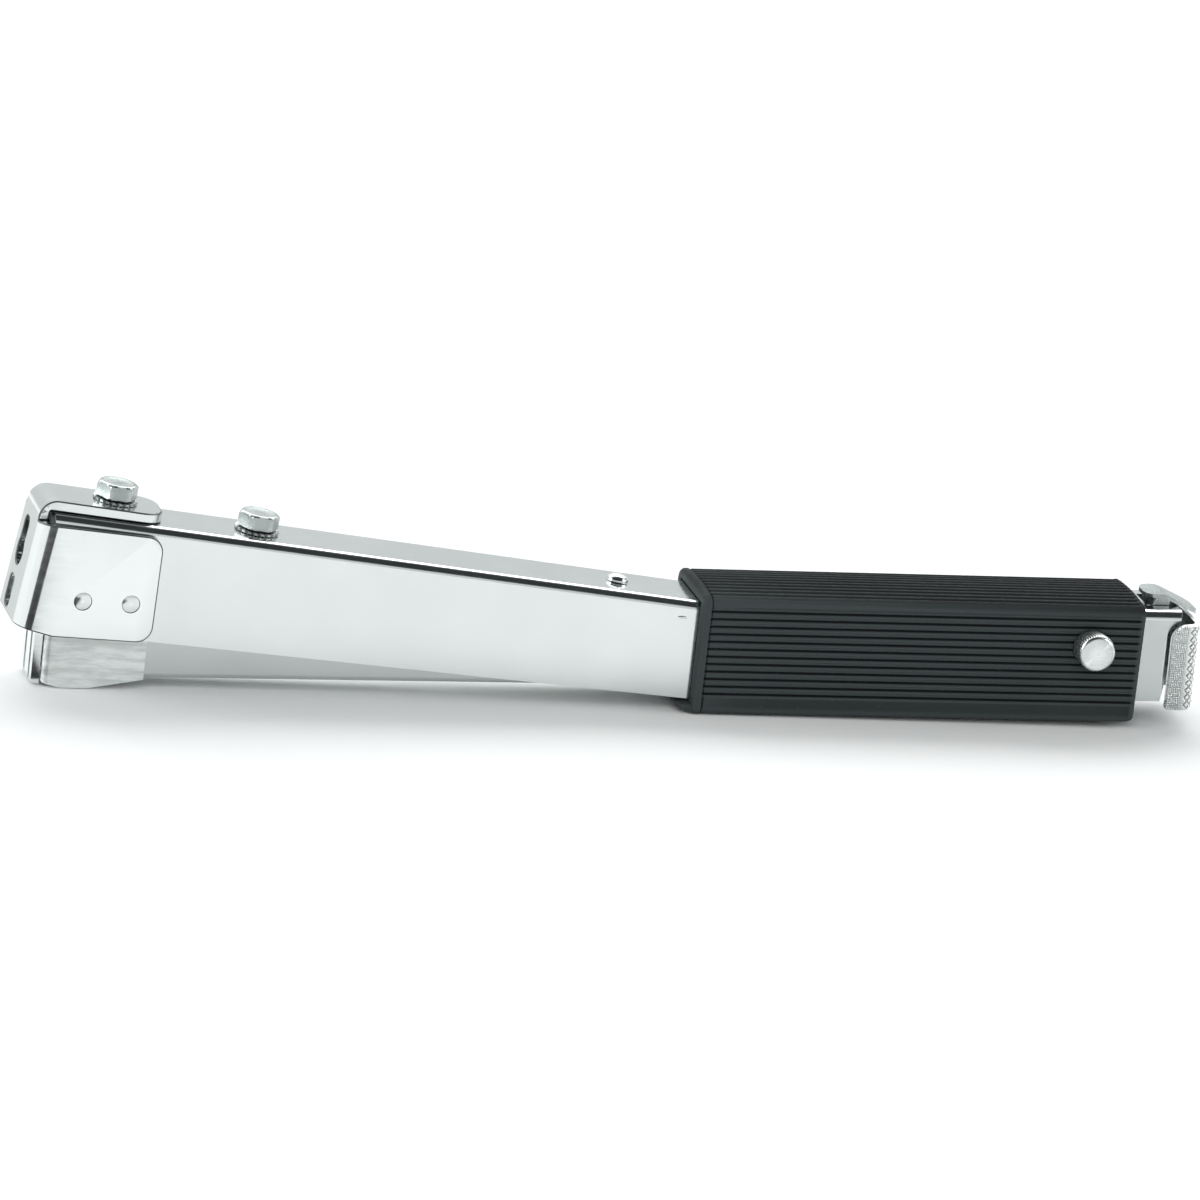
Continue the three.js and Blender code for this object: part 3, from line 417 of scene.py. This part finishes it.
def grip():
    low, high = (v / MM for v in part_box("grip_sleeve"))
    low.x += GRIP_LIP
    rise = 0.0125
    pitch = 2.15
    top_pitch = 2.55
    half, shoulder, crown = 15.0, 33.4, 1.1
    steps_per_rib = 10

    def rib(s):
        """Depth below the flat ridge tops at distance s along the ribbed face."""
        wave = 0.5 + 0.5 * math.cos(2 * math.pi * s / pitch)
        return 0.75 * wave ** 3.2

    def outline(side):
        """One half of the grip's section, from the middle of its underside to the middle of its top.

        Each point is (y, z, groove depth, outward y, outward z)."""
        corner, foot = 2.4, 1.7
        first_rib = 4.9
        ribs_side, ribs_top = 12, 10
        side_top = shoulder - corner
        last_rib = first_rib + ribs_side * pitch
        rib_half = ribs_top * top_pitch / 2
        quarter = math.pi / 2

        def bottom(t):
            return side * (half - foot) * t, 0.0

        def foot_corner(t):
            return side * (half - foot + foot * math.sin(t * quarter)), foot - foot * math.cos(t * quarter)

        def top_corner(t):
            across = half - corner + corner * math.cos(t * quarter)
            return side * across, side_top + corner * math.sin(t * quarter)

        def crowned_top(t):
            rise_here = crown * (1 - ((1 - t) * (half - corner) / half) ** 2) * 0.98
            return side * rib_half * (1 - t) * (half - corner) / rib_half, shoulder + rise_here

        def top_rib(t):
            return rib(((1 - t) * rib_half / top_pitch + 0.5) * pitch) if t > 0.04 else 0

        def flat(t):
            return 0

        sections = (
            (6, bottom, flat, lambda t: (0, -1)),
            (5, foot_corner, flat, lambda t: (side * math.sin(t * quarter), -math.cos(t * quarter))),
            (6, lambda t: (side * half, foot + (first_rib - foot) * t), flat, lambda t: (side, 0)),
            (ribs_side * steps_per_rib, lambda t: (side * half, first_rib + ribs_side * pitch * t),
             lambda t: rib((t * ribs_side + 0.5) * pitch), lambda t: (side, 0)),
            (3, lambda t: (side * half, last_rib + (side_top - first_rib - ribs_side * pitch) * t),
             flat, lambda t: (side, 0)),
            (7, top_corner, flat, lambda t: (side * math.cos(t * quarter), math.sin(t * quarter))),
            (ribs_top * steps_per_rib // 2, crowned_top, top_rib, lambda t: (0, 1)),
        )
        return [
            (*place(i / count), depth(i / count), *out(i / count))
            for count, place, depth, out in sections
            for i in range(count)
        ]

    section = outline(-1) + outline(1)[::-1]
    length = high.x - low.x
    collar = 2.6
    round_front = 1.1
    round_rear = 0.9

    def ring(x, inset, depth_share, lift):
        centre = (shoulder + crown) / 2
        points = []
        for y, z, depth, out_y, out_z in section:
            step = 0.16 * min(1, depth_share) + depth * depth_share
            y2 = (y - out_y * step) * (1 - inset / half)
            z2 = centre + (z - out_z * step - centre) * (1 - inset / centre)
            z2 = max(z2, lift) + rise * x
            points.append(Vector((low.x + x, y2, low.z + z2)) * MM)
        return points

    def rounded(radius, steps):
        return [(radius * (1 - math.cos(a)), radius * (1 - math.sin(a)))
                for a in (math.pi / 2 * k / steps for k in range(steps + 1))]

    stations = [(dx, inset, 0, 0) for dx, inset in rounded(round_front, 6)]
    stations += [(collar - 0.5, 0, 0, 0), (collar - 0.15, 0.1, 0.3, 0), (collar, 0.25, 1.25, 0)]
    stations += [(collar + 0.35, 0.05, 1.1, 0), (collar + 0.7, 0, 1, 0)]
    stations += [(collar + 0.7 + (length - collar - 6.2) * k / 12, 0, 1, 0) for k in range(1, 13)]
    foot_round = 3.4
    for k in range(1, 7):
        x = length - foot_round + foot_round * math.sin(math.pi / 2 * k / 7)
        lift = foot_round - math.sqrt(max(0, foot_round ** 2 - (x - length + foot_round) ** 2))
        inset = 0 if length - x > round_rear else round_rear - math.sqrt(
            max(0, round_rear ** 2 - (round_rear - (length - x)) ** 2))
        stations.append((x, inset, 1 if length - x > 1.4 else 0.3, lift * 0.8))
    stations.append((length, round_rear, 0.0, foot_round * 0.8))
    rings = [ring(*station) for station in stations]

    def bore(x):
        top = 31.4 + 0.0162 * x
        bottom = 3.1 + 0.0275 * x
        points = []
        for y, z, *_ in section:
            across = max(-11.5, min(11.5, y * 0.8))
            height = max(bottom, min(top, z * 1.02 - 0.4))
            points.append(Vector((low.x + x, across, low.z + height)) * MM)
        return points

    rings += [bore(length), bore(0)]
    bm = loft(rings, closed=True)
    bmesh.ops.dissolve_degenerate(bm, dist=1e-7, edges=bm.edges)
    sleeve = mesh_object("grip_ribbed", bm)
    drill_far_side(sleeve)
    return finish_piece(sleeve, "grip_sleeve", smooth=50)


# ---- round pieces ----
def pin():
    low, high = (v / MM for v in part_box("pivot_pin"))
    centre = Vector(((low.x + high.x) / 2, 0, (low.z + high.z) / 2))
    head_face = -low.y
    radius = (high.x - low.x) / 2
    seat = head_face - 7.2
    teeth = 46
    turn = Matrix.Rotation(math.pi / 2, 4, "X")
    matrix = Matrix.Translation(centre * MM) @ turn @ Matrix.Scale(MM, 4)

    def knurl(r, height, k):
        ribbed = seat + 0.5 < height < head_face - 0.75
        return r - (0.34 if ribbed and k % 2 else 0)

    profile = [(0.001, -high.y), (2.3, -high.y), (2.9, -high.y + 0.6), (2.9, seat - 0.02)]
    profile += [(radius - 0.5, seat), (radius - 0.12, seat + 0.3), (radius, seat + 0.7)]
    profile += [(radius, head_face - 0.95), (radius - 0.3, head_face - 0.55)]
    profile += [(radius - 0.75, head_face - 0.08), (radius - 0.95, head_face)]
    profile += [(radius - 1.6, head_face), (0.6, head_face - 0.02), (0.001, head_face - 0.02)]
    bm = turned(profile, teeth * 2, matrix, knurl)
    return finish_piece(mesh_object("pin_turned", bm), "pivot_pin", smooth=40)


def on_top(x_local, seat):
    """Places a piece drawn upright at the origin on the sloping top, seat millimetres above it."""
    axis = Vector((BODY_SLOPE, 0, 1)).normalized()
    top = TOP_AT_BEND + (BEND_X - x_local) * BODY_SLOPE
    turn = Vector((0, 0, 1)).rotation_difference(axis).to_matrix().to_4x4()
    place = Vector((x_local, 0, top)) + axis * seat
    return Matrix.Translation(place * MM) @ turn @ Matrix.Scale(MM, 4)


BOLTS = {"front": (18.7 - STRIKE_X, 2.92, 17), "rear": (58.8 - STRIKE_X, 0.0, 13)}  # x, seat and shank length
HEAD_HEIGHT = 4.2


def bolt(name, x, seat, shank):
    base = 1.24
    steps = 60

    def hexagon(r, height, k):
        if height < base - 0.01:
            return r
        angle = (2 * math.pi * k / steps) % (math.pi / 3) - math.pi / 6
        flat = 5.8 * math.cos(math.pi / 6) / math.cos(angle)
        return min(r, flat)

    top = base + HEAD_HEIGHT
    profile = [(0.001, base - shank), (2.6, base - shank), (3, base - shank + 0.5), (3, base - 0.02)]
    profile += [(5.0, base), (5.55, base + 0.12), (5.8, base + 0.35)]
    profile += [(5.8, top - 1.0), (5.5, top - 0.55), (5.05, top - 0.2), (4.75, top - 0.04)]
    profile += [(4.4, top), (3.9, top - 0.1), (0.001, top - 0.16)]
    bm = turned(profile, steps, on_top(x, seat), hexagon)
    return finish_piece(mesh_object(f"{name}_bolt_hex", bm), f"{name}_bolt", look="zinc", smooth=24)


def washer(name, x, seat):
    """A toothed lock washer: the rim's teeth are twisted up and down by turns."""
    teeth = 20
    steps = teeth * 4
    matrix = on_top(x, seat)
    rings = []
    lower = [(3.4, 0.18), (4.5, 0.18), (5.2, 0.14), (6.08, 0.12)]
    upper = [(6.08, 0.85), (5.2, 0.9), (4.5, 1.0), (3.4, 1.0)]
    for radius, height in lower + upper:
        ring = []
        for k in range(steps):
            angle = 2 * math.pi * k / steps
            phase = k % 4
            outer = radius > 5
            r = radius - (0.75 if outer and phase == 3 else 0)
            twist = 0.2 * (1 if phase == 1 else 0) if outer and height < 0.5 else 0
            drop = 0.2 * (1 if phase == 2 else 0) if outer and height > 0.5 else 0
            ring.append(matrix @ Vector((r * math.cos(angle), r * math.sin(angle), height + twist - drop)))
        rings.append(ring)
    obj = mesh_object(f"{name}_washer_toothed", loft(rings, closed=True))
    return finish_piece(obj, f"{name}_lock_washer", smooth=25)


def dome():
    """The spring's rivet: a smooth rolled head over its shank."""
    steps = 48
    x = 161.2 - STRIKE_X
    profile = [(0.001, -7), (1.5, -7), (1.8, -6.6), (1.8, 0.1), (2.9, 0.13), (3.08, 0.3)]
    angles = [math.pi / 2 * k / 9 for k in range(9)]
    profile += [(3.08 * math.cos(a), 0.45 + 1.72 * math.sin(a)) for a in angles]
    profile.append((0.001, 2.17))
    bm = turned(profile, steps, on_top(x, 0))
    return finish_piece(mesh_object("spring_rivet_domed", bm), "spring_rivet", smooth=60)


def centre_xz(node):
    low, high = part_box(node)
    return (low.x + high.x) / 2 / MM, (low.z + high.z) / 2 / MM


CAP_RIVETS = [centre_xz(f"cap_rivet_{place}_near") for place in ("front", "rear")]


def cap_rivets():
    """Rivets through the cap's side plates: low domes that sit just inside their holes."""
    for place in ("front", "rear"):
        for side, sign in (("near", -1), ("far", 1)):
            node = f"cap_rivet_{place}_{side}"
            low, high = (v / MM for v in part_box(node))
            centre = Vector(((low.x + high.x) / 2, 0, (low.z + high.z) / 2))
            radius = (high.x - low.x) / 2
            outer = max(abs(low.y), abs(high.y))
            inner = min(abs(low.y), abs(high.y))
            turn = Matrix.Rotation(-sign * math.pi / 2, 4, "X")
            matrix = Matrix.Translation(centre * MM) @ turn @ Matrix.Scale(MM, 4)
            rise, rim = 0.22, radius - 0.05
            sphere = (rim ** 2 + rise ** 2) / (2 * rise)
            slope = math.asin(rim / sphere)
            profile = [(0.001, inner), (radius, inner)]
            profile += [(radius, outer - rise - 0.25), (rim, outer - rise - 0.1)]
            profile += [(sphere * math.sin(a), outer - 0.01 - sphere * (1 - math.cos(a)))
                        for a in (slope * (1 - k / 10) for k in range(10))]
            profile.append((0.001, outer - 0.01))
            bm = turned(profile, 40, matrix)
            finish_piece(mesh_object(f"{node}_domed", bm), node, look="chrome_plate", smooth=60)


# ---- springs ----
def coil(name, node, start, end, radius, wire, turns):
    """A wire spring between two points, with closed ends."""
    start, end = Vector(start), Vector(end)
    axis = (end - start).normalized()
    side = axis.orthogonal().normalized()
    other = axis.cross(side)
    length = (end - start).length
    steps = turns * 20
    points = []
    for i in range(steps + 1):
        t = i / steps
        flat_turns = 1.0 / turns
        share = min(max((t - flat_turns) / (1 - 2 * flat_turns), 0), 1)
        rise = wire * 2.2
        along = wire + rise * min(t / flat_turns, 1) + rise * max((t - 1 + flat_turns) / flat_turns, 0)
        along += (length - 2 * wire - 2 * rise) * share
        angle = 2 * math.pi * turns * t
        swing = radius * (math.cos(angle) * side + math.sin(angle) * other)
        points.append((start + axis * along + swing) * MM)
    obj = finish_piece(mesh_object(name, tube(points, wire * MM, 8)), node, smooth=60)
    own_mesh(obj)
    return obj


def springs():
    low, high = (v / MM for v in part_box("return_spring"))
    x = (low.x + high.x) / 2
    coil("return_spring_coil", "return_spring", (x, 0, low.z), (x, 0, high.z), 4, 0.6, 7)
    low, high = (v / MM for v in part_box("pusher_spring"))
    slope = math.tan(MAGAZINE_TILT)
    front = Vector((low.x, 0, low.z + 3.05))
    rear = Vector((high.x, 0, low.z + 3.05 + (high.x - low.x) * slope))
    coil("pusher_spring_coil", "pusher_spring", front, rear, 2.6, 0.42, 40)


def lanced_mark():
    """A small raised tongue pressed out of the channel's near side, ahead of the grip."""
    rings = []
    for k in range(11):
        t = k / 10
        height = 0.3 * math.sin(math.pi * min(1, t * 0.62 + 0.38)) + 0.02
        half = 0.32 * math.sin(math.pi * (0.08 + 0.84 * t)) + 0.05
        ring = []
        for step in range(10):
            a = 2 * math.pi * step / 10
            out = -11.15 - height * max(0, math.cos(a))
            ring.append(Vector((166 + 2.8 * t, out, 26.9 - 0.25 * t + half * math.sin(a))))
        rings.append([p * MM for p in ring])
    obj = mesh_object("lanced_mark", loft(rings))
    return finish_piece(obj, "frame_channel", smooth=50)


# ---- thumb pad ----
def thumb_pad():
    """The folded pad: two wings and a rear face in one sheet, knurled across the face and its bends."""
    to_frame = Matrix.Scale(MM, 4) @ Matrix.Translation(PIVOT) @ Matrix.Rotation(-MAGAZINE_TILT, 4, "Y")
    wing, face, half, bend, sheet = 23.7, 32.4, 14.4, 4.0, 1.5
    bottom, top = -18.6, 6.2
    upper, lower, edge = 4.5, 1.2, 0.45
    pitch, depth = 2.1, 0.35
    run_wing = face - bend - wing
    run_bend = bend * math.pi / 2
    run_face = half - bend

    def front_edge(w):
        """How far the wing's front edge steps back near its rounded top and bottom corners."""
        back = 0.0
        if w > top - upper:
            back = upper - math.sqrt(max(0, upper ** 2 - (w - top + upper) ** 2))
        if w < bottom + lower:
            back = lower - math.sqrt(max(0, lower ** 2 - (bottom + lower - w) ** 2))
        return back

    def outer_point(s, w):
        """Point and outward normal on the near half, s running from the wing's front edge to the middle."""
        if s < run_wing:
            back = front_edge(w)
            return (wing + back + (run_wing - back) * s / run_wing, -half), (0, -1)
        if s < run_wing + run_bend:
            a = (s - run_wing) / bend
            place = (face - bend + bend * math.sin(a), -half + bend - bend * math.cos(a))
            return place, (math.sin(a), -math.cos(a))
        return (face, -half + bend + s - run_wing - run_bend), (1, 0)

    def relief(s, w):
        """Depth of the cut below the outer skin: diamonds on the face and its bends, rounded edges, and
        smooth wings whose fine grain is only in the material.
        """
        from_edge = min(w - bottom, top - w)
        rounded = edge - math.sqrt(max(0, edge ** 2 - (edge - min(from_edge, edge)) ** 2))
        front = max(0, edge - s)
        rounded = max(rounded, edge - math.sqrt(max(0, edge ** 2 - front ** 2)))
        a = abs(((s + w) / pitch) % 1 - 0.5) * 2
        b = abs(((s - w) / pitch) % 1 - 0.5) * 2
        start = run_wing + run_bend * 0.04
        share = min(1, max(0, (s - start) / 0.4)) * min(1, from_edge / 0.7)
        return max(rounded, share * depth * (1 - min(1, 3.0 * min(a, b))))

    columns = 130
    levels = [bottom + (top - bottom) * k / 150 for k in range(151)]
    half_length = run_wing + run_bend + run_face
    spots = [half_length * k / columns for k in range(columns + 1)]
    bm = bmesh.new()

    def skin(inset, detailed):
        rows = []
        for w in levels:
            row = []
            for side in (-1, 1):
                places = spots if side < 0 else spots[-2::-1]
                for s in places:
                    (x, y), (nx, ny) = outer_point(s, w)
                    cut = relief(s, w) if detailed else inset
                    row.append(bm.verts.new(to_frame @ Vector((x - nx * cut, -side * (y - ny * cut), w))))
            rows.append(row)
        return rows

    outer = skin(0, True)
    inner = skin(sheet, False)
    for rows, flip in ((outer, False), (inner, True)):
        for a, b in zip(rows, rows[1:]):
            for i in range(len(a) - 1):
                quad = (a[i], a[i + 1], b[i + 1], b[i])
                bm.faces.new(quad[::-1] if flip else quad)
    for k in (0, -1):
        for i in range(len(outer[k]) - 1):
            bm.faces.new((outer[k][i], outer[k][i + 1], inner[k][i + 1], inner[k][i]))
        for j in range(len(levels) - 1):
            bm.faces.new((outer[j][k], outer[j + 1][k], inner[j + 1][k], inner[j][k]))
    return finish_piece(mesh_object("thumb_pad_knurled", bm), "thumb_pad", look="knurled", smooth=28)


# ---- build the pieces ----
grip()
grip_lip()
pin()
for name, (x, seat, shank) in BOLTS.items():
    bolt(name, x, seat, shank)
    washer(name, x, seat)
dome()
cap_rivets()
springs()
thumb_pad()
lanced_mark()
# The cap's bevels take the dark edge colour: painted shade along its rim, besides the darker sheared edge.
softened("head_cap", 0.4, 3, "sheared_edge_shade", clamp=False, sharp_at=CAP_RIVETS)
softened("frame_channel", 0.25, 2)
softened("nose_block", 0.4, 3)
softened("nose_plate", 0.25, 2)
softened("latch_lever", 0.25, 2, look="zinc")
softened("magazine_channel", 0.2, 2)
softened("magazine_cover", 0.2, 2)
softened("hinge_bracket", 0.25, 2)
softened("core_rail", 0.2, 2)
softened("driver_blade", 0.15, 2)
softened("driver_clamp", 0.3, 2)
for node, obj in frame["nodes"].items():
    obj.data.materials.clear()
    obj.data.materials.append(FINISHES[SLOT_OF[node]])


# ---- studio ----
def studio():
    bpy.ops.mesh.primitive_plane_add(size=9, location=(0.15, -2.9, -0.0002))
    floor = bpy.context.object
    floor.name = "studio_floor"
    n = Nodes("studio_paper")
    paper = n.blend(n.spread(n.noise(3), 0, 1), (0.80, 0.81, 0.81), (0.83, 0.84, 0.84))
    grain = n.bump(n.noise(900), 0.00005, 0.3)
    floor.data.materials.append(n.set(Base_Color=paper, Roughness=0.9, Normal=grain))

    # Reflection cards: each darkens what one part of the chrome mirrors, and only mirrors see them.
    front = ((-7, -11), (-4, -66), (30, -260), (-60, -330), (-300, -380), (-89, -106), (-18, -11))
    behind = ((-25, 40), (-45, 290), (-150, 290), (-70, 40))
    rear = ((294, -12), (324, -12), (366, -170), (334, -170))
    cards = (("dark_card", front, 0.012), ("grey_card", behind, 0.55), ("rear_card", rear, 0.50))
    for name, outline, shade in cards:
        bm = bmesh.new()
        bm.faces.new([bm.verts.new((x * MM, y * MM, 0.4 * MM)) for x, y in outline])
        card = mesh_object(name, bm)
        n = Nodes(name)
        card.data.materials.append(n.set(Base_Color=(shade, shade * 1.04, shade * 1.03), Roughness=0.9))
        for kind in ("camera", "diffuse", "shadow", "transmission"):
            setattr(card, f"visible_{kind}", False)

    world = bpy.data.worlds.new("studio")
    bpy.context.scene.world = world
    world.use_nodes = True
    tree = world.node_tree
    place = tree.nodes.new("ShaderNodeTexCoord")
    split = tree.nodes.new("ShaderNodeSeparateXYZ")
    tree.links.new(place.outputs["Generated"], split.inputs["Vector"])
    ramp = tree.nodes.new("ShaderNodeValToRGB")
    shift = tree.nodes.new("ShaderNodeMapRange")
    shift.inputs["From Min"].default_value = -1
    shift.inputs["From Max"].default_value = 1
    tree.links.new(split.outputs["Y"], shift.inputs["Value"])
    rise = tree.nodes.new("ShaderNodeMapRange")
    rise.inputs["From Min"].default_value = 0.34
    rise.inputs["From Max"].default_value = 0.52
    rise.inputs["To Min"].default_value = 1
    rise.inputs["To Max"].default_value = 0
    tree.links.new(split.outputs["Z"], rise.inputs["Value"])
    lighter = tree.nodes.new("ShaderNodeMath")
    lighter.operation = "MAXIMUM"
    tree.links.new(shift.outputs["Result"], lighter.inputs[0])
    tree.links.new(rise.outputs["Result"], lighter.inputs[1])
    tree.links.new(lighter.outputs["Value"], ramp.inputs["Fac"])
    ramp.color_ramp.elements[0].position = 0.52
    ramp.color_ramp.elements[0].color = (0.035, 0.04, 0.04, 1)
    ramp.color_ramp.elements[1].position = 0.8
    ramp.color_ramp.elements[1].color = (0.70, 0.73, 0.73, 1)
    tree.links.new(ramp.outputs["Color"], tree.nodes["Background"].inputs["Color"])

    for name, place, aim, size, power in (
        ("fill", (-0.3, -2.0, 1.7), (0.15, 0, 0), (3.0, 2.0), 40),
        ("back", (0.3, 1.25, 1.45), (0.15, -0.1, 0), (3.0, 1.2), 34),
        ("left", (-1.9, 0.2, 1.0), (0, 0, 0), (1.0, 1.4), 22),
        ("right", (2.1, -0.5, 1.1), (0.2, 0, 0), (0.8, 1.2), 14),
    ):
        light = bpy.data.lights.new(name, "AREA")
        light.shape = "RECTANGLE"
        light.size, light.size_y = size
        light.energy = power
        obj = bpy.data.objects.new(name, light)
        obj.location = place
        obj.rotation_euler = (Vector(aim) - Vector(place)).to_track_quat("-Z", "Y").to_euler()
        obj.visible_glossy = name != "fill"
        bpy.context.scene.collection.objects.link(obj)


def camera():
    """Looks down on the near side, with the small roll that lifts the nose."""
    turn, tip, roll = (math.radians(a) for a in (15.5, 16.5, 6.58))
    distance = 2.5
    back = Vector((-math.sin(turn) * math.cos(tip), -math.cos(turn) * math.cos(tip), math.sin(tip)))
    right = Vector((math.cos(turn), -math.sin(turn), 0))
    up = Vector((math.sin(turn) * math.sin(tip), math.cos(turn) * math.sin(tip), math.cos(tip)))
    rolled_right = right * math.cos(roll) + up * math.sin(roll)
    rolled_up = up * math.cos(roll) - right * math.sin(roll)
    data = bpy.data.cameras.new("camera")
    data.lens = 273
    data.sensor_width = 36
    aim = Vector((0.1545, 0, 0.02))
    obj = bpy.data.objects.new("camera", data)
    axes = Matrix((rolled_right, rolled_up, back)).transposed().to_4x4()
    centre = aim - rolled_right * 0.0069 + rolled_up * 0.00733
    obj.matrix_world = Matrix.Translation(centre + back * distance) @ axes
    data.clip_end = 50
    bpy.context.scene.collection.objects.link(obj)
    bpy.context.scene.camera = obj


studio()
camera()
bpy.context.scene.view_settings.view_transform = "Standard"
